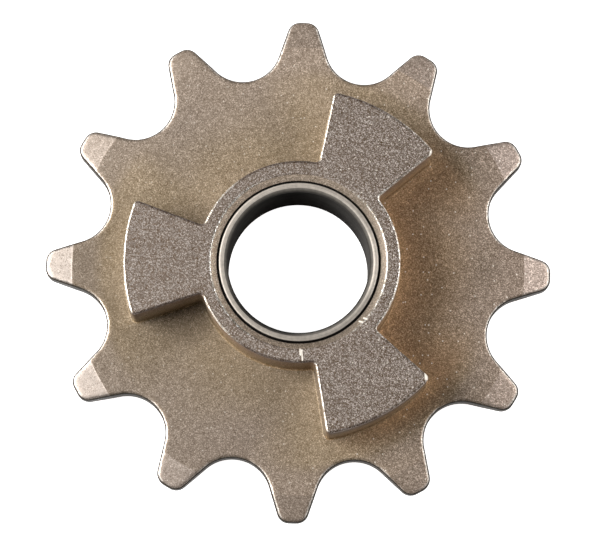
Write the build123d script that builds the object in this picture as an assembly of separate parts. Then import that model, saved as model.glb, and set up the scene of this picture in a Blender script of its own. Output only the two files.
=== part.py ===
from build123d import *

import os
from math import atan2, cos, hypot, pi, radians, sin, sqrt, tan

# Drive sprocket: a pressed and sintered steel body with a plain bearing bush pressed into its bore.
# Millimetres. The axis is Z, the back face stands on Z = 0, and the driving dogs point up.

# Chain that the teeth take
CHAIN_PITCH = 12.7
ROLLER_DIAMETER = 7.75
TOOTH_COUNT = 12

# Tooth gap: a round roller seat, then straight flanks that open outwards to rounded tips
SEAT_CLEARANCE = 0.175
SEAT_HALF_ANGLE = 57.2
TIP_OVER_PITCH_CIRCLE = 1.865
TIP_CORNER_RADIUS = 1.3

# Toothed plate, thinned towards the tips so that it enters the chain easily
PLATE_THICKNESS = 3.0
BEVEL_REACH = 2.8
BEVEL_DROP = 0.4
BEVEL_BLEND_RADIUS = 1.0
PLATE_EDGE_RADIUS = 0.35

# Bearing bush and the bore that holds it
BUSH_INNER_DIAMETER = 14.6
BUSH_WALL = 1.1
BUSH_FRONT_RECESS = 0.4
BUSH_BACK_RECESS = 0.5
BUSH_INNER_CHAMFER = 0.4
BUSH_OUTER_CHAMFER_DEPTH = 0.2
BUSH_OUTER_CHAMFER_LENGTH = 0.6
PRESS_CLEARANCE = 0.0
BORE_FRONT_CHAMFER = 0.7
BORE_BACK_CHAMFER = 0.3

# Hub around the bore and the driving dogs on it, whose tops lie at one level
HUB_WALL = 2.05
DOG_COUNT = 3
DOG_ANGLE = 39.1
DOG_FIRST_ANGLE = 60.0
DOG_HEIGHT = 6.7
LAND_BEHIND_DOGS = 2.66
DOG_OUTER_CORNER_RADIUS = 0.5
DOG_INNER_CORNER_RADIUS = 0.5
DOG_EDGE_RADIUS = 0.17
DOG_ROOT_RADIUS = 0.25

# Low boss behind the plate
BOSS_WALL = 2.1
BOSS_HEIGHT = 1.2
BOSS_EDGE_RADIUS = 0.3

# Worked out from the sizes above
TOOTH_STEP = 360 / TOOTH_COUNT
PITCH_RADIUS = CHAIN_PITCH / 2 / sin(pi / TOOTH_COUNT)
ROOT_RADIUS = PITCH_RADIUS - ROLLER_DIAMETER / 2
TIP_RADIUS = PITCH_RADIUS + TIP_OVER_PITCH_CIRCLE
SEAT_RADIUS = ROLLER_DIAMETER / 2 + SEAT_CLEARANCE
SEAT_CENTRE_RADIUS = ROOT_RADIUS + SEAT_RADIUS
BUSH_INNER_RADIUS = BUSH_INNER_DIAMETER / 2
BUSH_OUTER_RADIUS = BUSH_INNER_RADIUS + BUSH_WALL
BORE_RADIUS = BUSH_OUTER_RADIUS + PRESS_CLEARANCE
HUB_RADIUS = BORE_RADIUS + HUB_WALL
BOSS_RADIUS = BORE_RADIUS + BOSS_WALL
DOG_RADIUS = ROOT_RADIUS - LAND_BEHIND_DOGS
DOG_STEP = 360 / DOG_COUNT
PLATE_BACK_Z = BOSS_HEIGHT
PLATE_FRONT_Z = PLATE_BACK_Z + PLATE_THICKNESS
TOP_Z = PLATE_FRONT_Z + DOG_HEIGHT
BUSH_BACK_Z = BUSH_BACK_RECESS
BUSH_FRONT_Z = TOP_Z - BUSH_FRONT_RECESS

# Share of the space at a tooth's tip that its rounded corners may take
TIP_ROUNDING_LIMIT = 0.95
# How near to a circle a corner lies to count as on it
ON_CIRCLE = 0.01
# Largest Z part of a direction that counts as level
LEVEL = 0.1


def on_circle(radius, angle):
    """A point at a radius and an angle in degrees from +X."""
    return (radius * cos(radians(angle)), radius * sin(radians(angle)))


def from_axis(point):
    """How far a point lies from the axis."""
    return hypot(point.X, point.Y)


def corners_at(outline, radius):
    """The corners of a flat outline that lie on a circle around the axis."""
    return [corner for corner in outline.vertices() if abs(from_axis(corner) - radius) < ON_CIRCLE]


def seat_end():
    """Where the roller seat of a gap on +X runs out into the flank on its +Y side."""
    angle = radians(SEAT_HALF_ANGLE)
    return (SEAT_CENTRE_RADIUS - SEAT_RADIUS * cos(angle), SEAT_RADIUS * sin(angle))


def flank_point(radius):
    """Where that flank, a straight line that leaves the seat smoothly, reaches a radius."""
    x, y = seat_end()
    along_x, along_y = sin(radians(SEAT_HALF_ANGLE)), cos(radians(SEAT_HALF_ANGLE))
    outward = x * along_x + y * along_y
    run = sqrt(outward ** 2 + radius ** 2 - x ** 2 - y ** 2) - outward
    return (x + run * along_x, y + run * along_y)


def tooth_gap():
    """One gap between two teeth, on the +X axis: the roller seat and the flanks that leave it."""
    seat_x, seat_y = seat_end()
    mouth_x, mouth_y = flank_point(TIP_RADIUS + SEAT_RADIUS)
    flanks = Polygon(
        (seat_x, -seat_y),
        (mouth_x, -mouth_y),
        (mouth_x, mouth_y),
        (seat_x, seat_y),
        align=None,
    )
    return flanks + Pos(SEAT_CENTRE_RADIUS, 0) * Circle(SEAT_RADIUS)


def tip_corner_radius():
    """The rounding of a tooth's two tip corners, as far as the tip between them has room for it."""
    x, y = flank_point(TIP_RADIUS)
    half_tip_angle = radians(TOOTH_STEP / 2) - atan2(y, x)
    flank_lean = radians(90 - SEAT_HALF_ANGLE - TOOTH_STEP / 2) + half_tip_angle
    corner_turn = pi / 2 - flank_lean
    room = TIP_RADIUS * tan(half_tip_angle) / tan(corner_turn / 2)
    return min(TIP_CORNER_RADIUS, TIP_ROUNDING_LIMIT * room)


def toothed_outline():
    """The plate's outline, with a tooth on the +X axis and rounded tooth tips."""
    outline = Circle(TIP_RADIUS)
    for tooth in range(TOOTH_COUNT):
        outline -= Rot(0, 0, (tooth + 0.5) * TOOTH_STEP) * tooth_gap()
    return fillet(corners_at(outline, TIP_RADIUS), tip_corner_radius())


def plate_section():
    """Half section of the plate as a turned disc: flat, then thinned on both sides past the tips."""
    bevel_start = TIP_RADIUS - BEVEL_REACH
    rim = TIP_RADIUS + BEVEL_REACH
    rim_drop = 2 * BEVEL_DROP
    with BuildSketch(Plane.XZ) as section:
        with BuildLine():
            Polyline(
                (0, PLATE_BACK_Z),
                (bevel_start, PLATE_BACK_Z),
                (rim, PLATE_BACK_Z + rim_drop),
                (rim, PLATE_FRONT_Z - rim_drop),
                (bevel_start, PLATE_FRONT_Z),
                (0, PLATE_FRONT_Z),
                close=True,
            )
        make_face()
    bevel_corners = [v for v in section.sketch.vertices() if 0 < v.X < TIP_RADIUS]
    return fillet(bevel_corners, BEVEL_BLEND_RADIUS)


def toothed_plate():
    """The sprocket's plate: the outline's prism kept inside the thinned disc, with its edges rounded."""
    prism = Pos(0, 0, PLATE_BACK_Z) * extrude(toothed_outline(), PLATE_THICKNESS)
    plate = prism & revolve(plate_section(), Axis.Z)
    walls = [face for face in plate.faces() if abs(face.normal_at(face.center()).Z) < LEVEL]
    rims = [edge for wall in walls for edge in wall.edges() if abs((edge % 0.5).Z) < 1 - LEVEL]
    return fillet(rims, PLATE_EDGE_RADIUS)


def dog_sector(middle_angle):
    """One driving dog in plan, a sector with radial sides that starts inside the hub."""
    start = middle_angle - DOG_ANGLE / 2
    end = middle_angle + DOG_ANGLE / 2
    with BuildSketch() as sector:
        with BuildLine():
            Polyline(on_circle(DOG_RADIUS, end), (0, 0), on_circle(DOG_RADIUS, start))
            CenterArc((0, 0), DOG_RADIUS, start, DOG_ANGLE)
        make_face()
    return sector.sketch


def hub_outline():
    """Hub and dogs in plan, as one outline with rounded corners."""
    outline = Circle(HUB_RADIUS)
    for dog in range(DOG_COUNT):
        outline += dog_sector(DOG_FIRST_ANGLE + dog * DOG_STEP)
    outline = fillet(corners_at(outline, DOG_RADIUS), DOG_OUTER_CORNER_RADIUS)
    return fillet(corners_at(outline, HUB_RADIUS), DOG_INNER_CORNER_RADIUS)


def hub_with_dogs():
    """The raised hub and dogs, rounded along their top edge."""
    raised = Pos(0, 0, PLATE_FRONT_Z) * extrude(hub_outline(), DOG_HEIGHT)
    return fillet(raised.faces().sort_by(Axis.Z)[-1].edges(), DOG_EDGE_RADIUS)


def back_boss():
    """The low round boss that the sprocket stands on."""
    boss = Cylinder(BOSS_RADIUS, BOSS_HEIGHT, align=(Align.CENTER, Align.CENTER, Align.MIN))
    return fillet(boss.faces().sort_by(Axis.Z)[0].edges(), BOSS_EDGE_RADIUS)


def body_bore():
    """The bore's whole space, with the chamfers at its two mouths."""
    with BuildSketch(Plane.XZ) as section:
        with BuildLine():
            Polyline(
                (0, 0),
                (BORE_RADIUS + BORE_BACK_CHAMFER, 0),
                (BORE_RADIUS, BORE_BACK_CHAMFER),
                (BORE_RADIUS, TOP_Z - BORE_FRONT_CHAMFER),
                (BORE_RADIUS + BORE_FRONT_CHAMFER, TOP_Z),
                (0, TOP_Z),
                close=True,
            )
        make_face()
    return revolve(section.sketch, Axis.Z)


def sprocket_body():
    """The sintered body in one solid: plate, hub with dogs, and boss, bored through."""
    body = toothed_plate() + hub_with_dogs()
    plate_edges = body.edges().filter_by_position(Axis.Z, PLATE_FRONT_Z, PLATE_FRONT_Z)
    hub_root = [edge for edge in plate_edges if from_axis(edge @ 0.5) < DOG_RADIUS + ON_CIRCLE]
    body = fillet(hub_root, DOG_ROOT_RADIUS) + back_boss() - body_bore()
    top_edges = body.edges().filter_by_position(Axis.Z, TOP_Z, TOP_Z)
    bore_mouth = [edge for edge in top_edges if edge.is_closed]
    return fillet(bore_mouth, DOG_EDGE_RADIUS)


def bush():
    """The thin bearing bush: a sleeve whose ends are chamfered inside and tapered outside."""
    inner = BUSH_INNER_RADIUS
    outer = BUSH_OUTER_RADIUS
    with BuildSketch(Plane.XZ) as section:
        with BuildLine():
            Polyline(
                (inner, BUSH_BACK_Z + BUSH_INNER_CHAMFER),
                (inner + BUSH_INNER_CHAMFER, BUSH_BACK_Z),
                (outer - BUSH_OUTER_CHAMFER_DEPTH, BUSH_BACK_Z),
                (outer, BUSH_BACK_Z + BUSH_OUTER_CHAMFER_LENGTH),
                (outer, BUSH_FRONT_Z - BUSH_OUTER_CHAMFER_LENGTH),
                (outer - BUSH_OUTER_CHAMFER_DEPTH, BUSH_FRONT_Z),
                (inner + BUSH_INNER_CHAMFER, BUSH_FRONT_Z),
                (inner, BUSH_FRONT_Z - BUSH_INNER_CHAMFER),
                close=True,
            )
        make_face()
    return revolve(section.sketch, Axis.Z)


os.makedirs("parts", exist_ok=True)
for name, piece in {"sprocket_body": sprocket_body(), "bearing_bush": bush()}.items():
    export_step(piece, f"parts/{name}.step")
    print(f"{name}: {len(piece.solids())} solid, {piece.volume:.1f} mm3, box {piece.bounding_box().size}")
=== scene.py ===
# %% [markdown]
# # A sintered drive sprocket, dressed in Blender
#
# The part is a small chain sprocket from a garden machine: a pressed and sintered steel body with
# twelve teeth, a raised hub with three driving dogs, and a thin bearing bush pressed into its bore. The
# CAD model gives the frame: its nodes load first, at their real size and place, and every piece made
# here stands exactly where they stand. Lengths are metres, so MM turns a drawing size into them.

# %% Load the frame
from math import cos, pi, radians, sin, sqrt

import bmesh
import bpy
from mathutils import Matrix, Vector


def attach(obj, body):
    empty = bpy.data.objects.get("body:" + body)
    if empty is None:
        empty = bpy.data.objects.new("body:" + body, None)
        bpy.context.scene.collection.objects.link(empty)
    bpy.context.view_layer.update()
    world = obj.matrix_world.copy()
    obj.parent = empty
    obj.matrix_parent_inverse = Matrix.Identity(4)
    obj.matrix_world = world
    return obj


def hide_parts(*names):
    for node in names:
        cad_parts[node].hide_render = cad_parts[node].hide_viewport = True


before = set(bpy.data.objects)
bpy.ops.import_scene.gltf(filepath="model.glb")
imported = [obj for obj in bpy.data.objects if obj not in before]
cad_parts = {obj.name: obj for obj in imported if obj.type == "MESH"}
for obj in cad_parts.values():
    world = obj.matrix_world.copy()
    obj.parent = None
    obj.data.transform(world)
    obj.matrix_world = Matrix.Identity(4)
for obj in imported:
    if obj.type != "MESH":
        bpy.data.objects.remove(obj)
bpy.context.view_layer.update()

MM = 0.001
print("CAD nodes:", ", ".join(sorted(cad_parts)))

# %% [markdown]
# ## Camera
#
# The photograph looks down on the sprocket, a little from below the picture's middle, from far away
# with a long lens. A camera could be placed by eye, but a view that was worked out from the round hub,
# the dogs and the teeth lets the render lie on the photograph edge for edge. It is written as an aim
# point on the plate's front face, a distance, two angles and a roll.

# %% Place the camera
PLATE_FRONT = 4.2 * MM
CAMERA_AIM = Vector((0.19 * MM, -0.34 * MM, PLATE_FRONT))
CAMERA_DISTANCE = 376.15 * MM
CAMERA_AZIMUTH = radians(-2.25)
CAMERA_ELEVATION = radians(82.57)
CAMERA_ROLL = radians(3.55)
CAMERA_LENS = 216.1

camera_data = bpy.data.cameras.new("camera")
camera_data.lens = CAMERA_LENS
camera_data.sensor_width = 36.0
camera_data.clip_start = 10 * MM
camera_data.clip_end = 10.0
camera = bpy.data.objects.new("camera", camera_data)
turn = Matrix.Rotation(CAMERA_AZIMUTH, 4, "Z") @ Matrix.Rotation(pi / 2 - CAMERA_ELEVATION, 4, "X")
lift = Matrix.Translation((0, 0, CAMERA_DISTANCE))
camera.matrix_world = Matrix.Translation(CAMERA_AIM) @ turn @ lift @ Matrix.Rotation(CAMERA_ROLL, 4, "Z")
bpy.context.scene.collection.objects.link(camera)
bpy.context.scene.camera = camera
print("camera at", [round(v / MM, 1) for v in camera.matrix_world.translation], "mm")

# %% [markdown]
# ## A short way to write node trees
#
# Geometry trees and materials are both node trees. Written call by call they get long, so a small
# helper adds a node, sets its options and feeds its inputs: a socket is linked and a plain value is
# set. With it a tree reads like the formula that it stands for.

# %% A helper for node trees
class Graph:
    """A node tree with short calls that add nodes and wire them."""

    def __init__(self, tree):
        self.tree = tree

    def feed(self, socket, value):
        """Links a socket or sets a plain value."""
        if isinstance(value, bpy.types.NodeSocket):
            self.tree.links.new(value, socket)
        else:
            socket.default_value = value

    def node(self, kind, inputs=None, **options):
        """Adds a node, sets its options and feeds its inputs by name or number."""
        made = self.tree.nodes.new(kind)
        for option, value in options.items():
            setattr(made, option, value)
        for key, value in (inputs or {}).items():
            self.feed(made.inputs[key], value)
        return made

    def calc(self, operation, *values):
        """One step of arithmetic."""
        return self.node("ShaderNodeMath", dict(enumerate(values)), operation=operation).outputs[0]

    def plus(self, first, second):
        """The sum of two numbers."""
        return self.calc("ADD", first, second)

    def minus(self, first, second):
        """The difference of two numbers."""
        return self.calc("SUBTRACT", first, second)

    def times(self, first, *others):
        """The product of two or more numbers."""
        for other in others:
            first = self.calc("MULTIPLY", first, other)
        return first

    def over(self, first, second):
        """The quotient of two numbers."""
        return self.calc("DIVIDE", first, second)

    def vector(self, operation, *values):
        """One step of vector arithmetic that gives a vector."""
        return self.node("ShaderNodeVectorMath", dict(enumerate(values)), operation=operation).outputs[0]

    def split(self, vector):
        """The X, Y and Z of a vector."""
        return self.node("ShaderNodeSeparateXYZ", {0: vector}).outputs

    def combine(self, x, y, z):
        """A vector from three numbers."""
        return self.node("ShaderNodeCombineXYZ", {0: x, 1: y, 2: z}).outputs[0]

    def smooth(self, value, low, high):
        """A soft step from 0 at low to 1 at high, where low may also be the larger one."""
        steps = {"Value": value, "From Min": low, "From Max": high}
        return self.node("ShaderNodeMapRange", steps, interpolation_type="SMOOTHSTEP").outputs[0]

    def blend(self, share, first, second):
        """A colour between two colours."""
        return self.node("ShaderNodeMix", {0: share, 6: first, 7: second}, data_type="RGBA").outputs[2]

    def between(self, share, first, second):
        """A number between two numbers."""
        return self.node("ShaderNodeMix", {0: share, 2: first, 3: second}, data_type="FLOAT").outputs[0]

    def noise(self, place, grain, detail=2.0, roughness=0.5):
        """Cloudy noise from 0 to 1 with patches about one grain wide."""
        inputs = {"Vector": place, "Scale": 1.0 / grain, "Detail": detail, "Roughness": roughness}
        return self.node("ShaderNodeTexNoise", inputs).outputs[0]

    def vector_dot(self, first, second):
        """The dot product of two vectors."""
        made = self.node("ShaderNodeVectorMath", {0: first, 1: second}, operation="DOT_PRODUCT")
        return made.outputs["Value"]

    def from_axis(self, vector):
        """The distance of a point from the Z axis."""
        x, y, z = self.split(vector)
        flat = self.combine(x, y, 0.0)
        return self.node("ShaderNodeVectorMath", {0: flat}, operation="LENGTH").outputs["Value"]


print("the helper has", len([name for name in vars(Graph) if name[0] != "_"]), "short calls")

# %% Geometry trees with named inputs
SOCKETS = {
    "geometry": "NodeSocketGeometry",
    "length": "NodeSocketFloat",
    "angle": "NodeSocketFloat",
    "share": "NodeSocketFloat",
    "count": "NodeSocketInt",
    "material": "NodeSocketMaterial",
}


def geometry_tree(name, inputs):
    """A new geometry tree with named inputs; gives the graph and the inputs' sockets by name."""
    tree = bpy.data.node_groups.new(name, "GeometryNodeTree")
    for input_name, kind in inputs.items():
        tree.interface.new_socket(name=input_name, in_out="INPUT", socket_type=SOCKETS[kind])
    tree.interface.new_socket(name="Geometry", in_out="OUTPUT", socket_type=SOCKETS["geometry"])
    graph = Graph(tree)
    given = graph.node("NodeGroupInput").outputs
    return graph, {input_name: given[input_name] for input_name in inputs}


def finish_tree(graph, geometry):
    """Sends a geometry to the tree's output."""
    graph.node("NodeGroupOutput", {"Geometry": geometry})
    return graph.tree


def use_tree(graph, tree, inputs):
    """Puts a finished tree into another one as a group and gives its geometry."""
    return graph.node("GeometryNodeGroup", inputs, node_tree=tree).outputs["Geometry"]


print("kinds of tree inputs:", ", ".join(SOCKETS))

# %% [markdown]
# ## A skin that follows an outline
#
# Every wall of a pressed part is an outline seen from above, with a section that runs all the way round
# it: a rounded rim, a wall, a fillet. A modeller could extrude and bevel it, but a bevel gives up at
# tight corners. Here a grid is laid along the outline instead: its columns are steps along the outline,
# and its rows are the points of the section. A section point's X says how far outside the outline it
# lies and its Y gives the height. Real edges of sintered steel aren't evenly rounded, so some noise
# widens or narrows what lies inside.

# %% The skin tree
# The scale of the wear noise: its patches are a little over 1 mm wide.
WEAR_SCALE = 900.0


def skin_tree():
    """A mesh grid that is laid along an outline, with a section across it."""
    graph, given = geometry_tree("skin along an outline", {
        "Outline": "geometry", "Section": "geometry", "Columns": "count", "Rows": "count",
        "Worn Edge": "length", "Wear": "share",
    })
    columns_and_seam = graph.plus(given["Columns"], 1)
    grid = graph.node("GeometryNodeMeshGrid", {"Vertices X": columns_and_seam, "Vertices Y": given["Rows"]})
    index = graph.node("GeometryNodeInputIndex").outputs[0]
    column = graph.calc("FLOOR", graph.over(graph.plus(index, 0.5), given["Rows"]))
    row = graph.minus(index, graph.times(column, given["Rows"]))
    around_once = graph.calc("FLOORED_MODULO", column, given["Columns"])
    along = graph.node(
        "GeometryNodeSampleCurve",
        {"Curves": given["Outline"], "Factor": graph.over(around_once, given["Columns"])},
        mode="FACTOR", use_all_curves=True,
    )
    place = graph.node("GeometryNodeInputPosition").outputs[0]
    across = graph.node(
        "GeometryNodeSampleIndex", {"Geometry": given["Section"], "Value": place, "Index": row},
        data_type="FLOAT_VECTOR", domain="POINT",
    )
    offset, height, mark = graph.split(across.outputs["Value"])
    noise = graph.node(
        "ShaderNodeTexNoise", {"Vector": along.outputs["Position"], "Scale": WEAR_SCALE, "Detail": 3.0},
    ).outputs[0]
    swing = graph.times(graph.minus(noise, 0.5), graph.times(given["Wear"], 2.0))
    inside = graph.calc("MINIMUM", offset, 0.0)
    # Only the rounded edge itself wears, with a hundredth to spare, and not the face behind it.
    deepest = graph.times(given["Worn Edge"], -1.01)
    near_edge = graph.calc("GREATER_THAN", inside, deepest)
    worn = graph.plus(offset, graph.times(inside, swing, near_edge))
    tangent_x, tangent_y, unused = graph.split(along.outputs["Tangent"])
    outward = graph.combine(tangent_y, graph.times(tangent_x, -1.0), 0.0)
    shift = graph.node("ShaderNodeVectorMath", {0: outward, "Scale": worn}, operation="SCALE").outputs[0]
    x, y, unused = graph.split(graph.vector("ADD", along.outputs["Position"], shift))
    placed = graph.combine(x, y, height)
    moved = graph.node("GeometryNodeSetPosition", {"Geometry": grid.outputs["Mesh"], "Position": placed})
    marked = graph.node(
        "GeometryNodeStoreNamedAttribute",
        {"Geometry": moved.outputs["Geometry"], "Name": "worn_edge", "Value": mark},
        data_type="FLOAT", domain="POINT",
    )
    return finish_tree(graph, marked.outputs["Geometry"])


SKIN = skin_tree()
print("skin tree has", len(SKIN.nodes), "nodes")


# %% Arcs, lines and how they join
def arc(graph, radius, start, sweep, points, centre=(0.0, 0.0), mark=0.0):
    """An arc as a curve, from a start angle and a sweep in radians; a mark of 1 makes it a worn edge."""
    made = graph.node("GeometryNodeCurveArc", {
        "Resolution": points, "Radius": radius, "Start Angle": start, "Sweep Angle": sweep,
    })
    place = graph.combine(*centre, mark)
    moved = graph.node("GeometryNodeTransform", {"Geometry": made.outputs["Curve"], "Translation": place})
    return moved.outputs["Geometry"]


def line(graph, start, end):
    """A straight curve between two points of a plan or section."""
    ends = {"Start": graph.combine(*start, 0.0), "End": graph.combine(*end, 0.0)}
    return graph.node("GeometryNodeCurvePrimitiveLine", ends).outputs["Curve"]


def join(graph, pieces):
    """Geometry joined in the order of the list."""
    joined = graph.node("GeometryNodeJoinGeometry")
    for piece in reversed(pieces):
        graph.tree.links.new(piece, joined.inputs[0])
    return joined.outputs["Geometry"]


print("outlines and sections are joined from arcs and lines")

# %% [markdown]
# ## The toothed outline
#
# A roller chain rides in round seats. Each gap of the sprocket is one seat arc with a straight flank on
# either side, and each tooth ends in two round corners with a short land between them. Drawing twelve
# teeth by hand would drift, so the tree draws half a pitch from arcs and a line, mirrors it and turns
# copies of it around the axis. The corner's centre follows from touching both the flank and the tip
# circle.

# %% Half a pitch, mirrored and repeated around the axis
def polar(graph, radius, angle, centre=(0.0, 0.0)):
    """The X and Y of a point at a radius and an angle from a centre."""
    x = graph.calc("MULTIPLY_ADD", radius, graph.calc("COSINE", angle), centre[0])
    y = graph.calc("MULTIPLY_ADD", radius, graph.calc("SINE", angle), centre[1])
    return (x, y)


def mirrored_pitch(graph, half):
    """A whole pitch from the curves of its first half, which ends on the +X axis."""
    second = []
    for piece in reversed(half):
        flipped = graph.node("GeometryNodeTransform", {"Geometry": piece, "Scale": (1.0, -1.0, 1.0)})
        second.append(graph.node("GeometryNodeReverseCurve", {0: flipped.outputs[0]}).outputs[0])
    return join(graph, half + second)


def around(graph, pitch, count, first_angle):
    """Copies of a pitch, turned in order around the axis."""
    points = graph.node("GeometryNodePoints", {"Count": count})
    index = graph.node("GeometryNodeInputIndex").outputs[0]
    step = graph.over(2 * pi, count)
    angle = graph.calc("MULTIPLY_ADD", index, step, first_angle)
    copies = graph.node("GeometryNodeInstanceOnPoints", {
        "Points": points.outputs[0], "Instance": pitch, "Rotation": graph.combine(0.0, 0.0, angle),
    })
    return graph.node("GeometryNodeRealizeInstances", {0: copies.outputs[0]}).outputs[0]


# %% The tooth outline tree
def tooth_outline_tree():
    """The outline of all teeth, seen from above."""
    graph, given = geometry_tree("tooth outline", {
        "Teeth": "count", "Seat Radius": "length", "Seat Centre": "length", "Seat Half Angle": "angle",
        "Tip Radius": "length", "Corner Radius": "length", "Corner X": "length", "Corner Y": "length",
    })
    seat_centre = (given["Seat Centre"], 0.0)
    corner_centre = (given["Corner X"], given["Corner Y"])
    half_pitch = graph.over(pi, given["Teeth"])
    seat_sweep = graph.times(given["Seat Half Angle"], -1.0)
    corner_angle = graph.calc("ARCTAN2", given["Corner Y"], given["Corner X"])
    seat_end = polar(graph, given["Seat Radius"], graph.plus(pi, seat_sweep), seat_centre)
    flank_end = polar(graph, given["Corner Radius"], seat_sweep, corner_centre)
    corner_sweep = graph.minus(corner_angle, seat_sweep)
    land_sweep = graph.minus(half_pitch, corner_angle)
    from_gap = [
        arc(graph, given["Seat Radius"], pi, seat_sweep, points=24, centre=seat_centre),
        line(graph, seat_end, flank_end),
        arc(graph, given["Corner Radius"], seat_sweep, corner_sweep, points=20, centre=corner_centre),
        arc(graph, given["Tip Radius"], corner_angle, land_sweep, points=6),
    ]
    back_turn = graph.combine(0.0, 0.0, graph.times(half_pitch, -1.0))
    half = [
        graph.node("GeometryNodeTransform", {"Geometry": piece, "Rotation": back_turn}).outputs[0]
        for piece in from_gap
    ]
    return finish_tree(graph, around(graph, mirrored_pitch(graph, half), given["Teeth"], 0.0))


TOOTH_OUTLINE = tooth_outline_tree()
print("tooth outline tree has", len(TOOTH_OUTLINE.nodes), "nodes")

# %% Sizes of the teeth
TOOTH_COUNT = 12
CHAIN_PITCH = 12.7 * MM
ROLLER_DIAMETER = 7.75 * MM
SEAT_CLEARANCE = 0.175 * MM
TIP_ABOVE_PITCH = 1.865 * MM
PITCH_RADIUS = CHAIN_PITCH / 2 / sin(pi / TOOTH_COUNT)
ROLLER_RADIUS = ROLLER_DIAMETER / 2
SEAT_RADIUS = ROLLER_RADIUS + SEAT_CLEARANCE
SEAT_CENTRE = PITCH_RADIUS - ROLLER_RADIUS + SEAT_RADIUS
SEAT_HALF_ANGLE = radians(57.2)
TIP_RADIUS = PITCH_RADIUS + TIP_ABOVE_PITCH
CORNER_RADIUS = 1.3 * MM

# The corner's centre runs beside the flank until it is one corner radius inside the tip circle.
flank_way = Vector((sin(SEAT_HALF_ANGLE), cos(SEAT_HALF_ANGLE)))
into_tooth = Vector((-cos(SEAT_HALF_ANGLE), sin(SEAT_HALF_ANGLE)))
beside_flank = Vector((SEAT_CENTRE, 0.0)) + (SEAT_RADIUS + CORNER_RADIUS) * into_tooth
outward_run = beside_flank.dot(flank_way)
inner_tip = TIP_RADIUS - CORNER_RADIUS
flank_length = sqrt(outward_run ** 2 + inner_tip ** 2 - beside_flank.length_squared) - outward_run
corner_centre = beside_flank + flank_length * flank_way
TOOTH_SIZES = {
    "Teeth": TOOTH_COUNT, "Seat Radius": SEAT_RADIUS, "Seat Centre": SEAT_CENTRE,
    "Seat Half Angle": SEAT_HALF_ANGLE, "Tip Radius": TIP_RADIUS, "Corner Radius": CORNER_RADIUS,
    "Corner X": corner_centre.x, "Corner Y": corner_centre.y,
}
print(f"pitch circle {2 * PITCH_RADIUS / MM:.2f} mm, flanks {flank_length / MM:.2f} mm long")

# %% [markdown]
# ## The outline of hub and dogs
#
# The hub is a ring, and three dogs stand out from it as sectors with radial sides. They were pressed in
# one stroke, so their tops are one flat face and they share one wall. The same half pitch idea serves:
# a stretch of hub, a hollow corner, a radial side, a round corner, and half of the dog's outer arc.

# %% The dog outline tree
def dog_outline_tree():
    """The outline of the hub with its dogs, seen from above."""
    graph, given = geometry_tree("dog outline", {
        "Dogs": "count", "First Angle": "angle", "Hub Radius": "length", "Dog Radius": "length",
        "Dog Half Angle": "angle", "Inner Corner": "length", "Outer Corner": "length",
    })
    inner, outer = given["Inner Corner"], given["Outer Corner"]
    inner_reach = graph.plus(given["Hub Radius"], inner)
    outer_reach = graph.minus(given["Dog Radius"], outer)
    inner_lean = graph.calc("ARCSINE", graph.over(inner, inner_reach))
    outer_lean = graph.calc("ARCSINE", graph.over(outer, outer_reach))
    side = graph.times(given["Dog Half Angle"], -1.0)
    inner_angle = graph.minus(side, inner_lean)
    outer_angle = graph.plus(side, outer_lean)
    inner_centre = polar(graph, inner_reach, inner_angle)
    outer_centre = polar(graph, outer_reach, outer_angle)
    to_dog = graph.plus(side, pi / 2)
    to_gap = graph.minus(side, pi / 2)
    hub_start = graph.over(-pi, given["Dogs"])
    hub_sweep = graph.minus(inner_angle, hub_start)
    inner_start = graph.plus(inner_angle, pi)
    inner_sweep = graph.minus(to_dog, inner_start)
    outer_sweep = graph.minus(outer_angle, to_gap)
    dog_sweep = graph.times(outer_angle, -1.0)
    side_start = polar(graph, inner, to_dog, inner_centre)
    side_end = polar(graph, outer, to_gap, outer_centre)
    half = [
        arc(graph, given["Hub Radius"], hub_start, hub_sweep, points=60),
        arc(graph, inner, inner_start, inner_sweep, points=8, centre=inner_centre),
        line(graph, side_start, side_end),
        arc(graph, outer, to_gap, outer_sweep, points=10, centre=outer_centre),
        arc(graph, given["Dog Radius"], outer_angle, dog_sweep, points=40),
    ]
    pitch = mirrored_pitch(graph, half)
    return finish_tree(graph, around(graph, pitch, given["Dogs"], given["First Angle"]))


DOG_OUTLINE = dog_outline_tree()
print("dog outline tree has", len(DOG_OUTLINE.nodes), "nodes")

# %% Sizes of hub and dogs
BORE_RADIUS = 8.4 * MM
HUB_RADIUS = BORE_RADIUS + 2.05 * MM
DOG_RADIUS = PITCH_RADIUS - ROLLER_RADIUS - 2.66 * MM
DOG_HALF_ANGLE = radians(39.1 / 2)
DOG_COUNT = 3
FIRST_DOG_ANGLE = radians(60)
DOG_CORNER = 0.5 * MM
DOG_SIZES = {
    "Dogs": DOG_COUNT, "First Angle": FIRST_DOG_ANGLE, "Hub Radius": HUB_RADIUS, "Dog Radius": DOG_RADIUS,
    "Dog Half Angle": DOG_HALF_ANGLE, "Inner Corner": DOG_CORNER, "Outer Corner": DOG_CORNER,
}
print(f"hub {2 * HUB_RADIUS / MM:.1f} mm and dogs {2 * DOG_RADIUS / MM:.1f} mm across")

# %% [markdown]
# ## Skins and caps make the body
#
# Three skins stand on these outlines: the rim around the teeth, the wall of hub and dogs, and the bore
# with the boss behind the plate. What is left open between them is flat, so a cap finds the open edges
# at one height and fills them. Towards the tips the plate is thinned by a shallow cone on both faces,
# which lets the chain on. The rim's first and last rows are pulled in to the circle where that cone
# starts, so that its edge stays crisp.

# %% The cap tree
# Points this close in metres count as one height, and as one point.
FLAT = 1e-6
WELD = 2e-7


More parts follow.
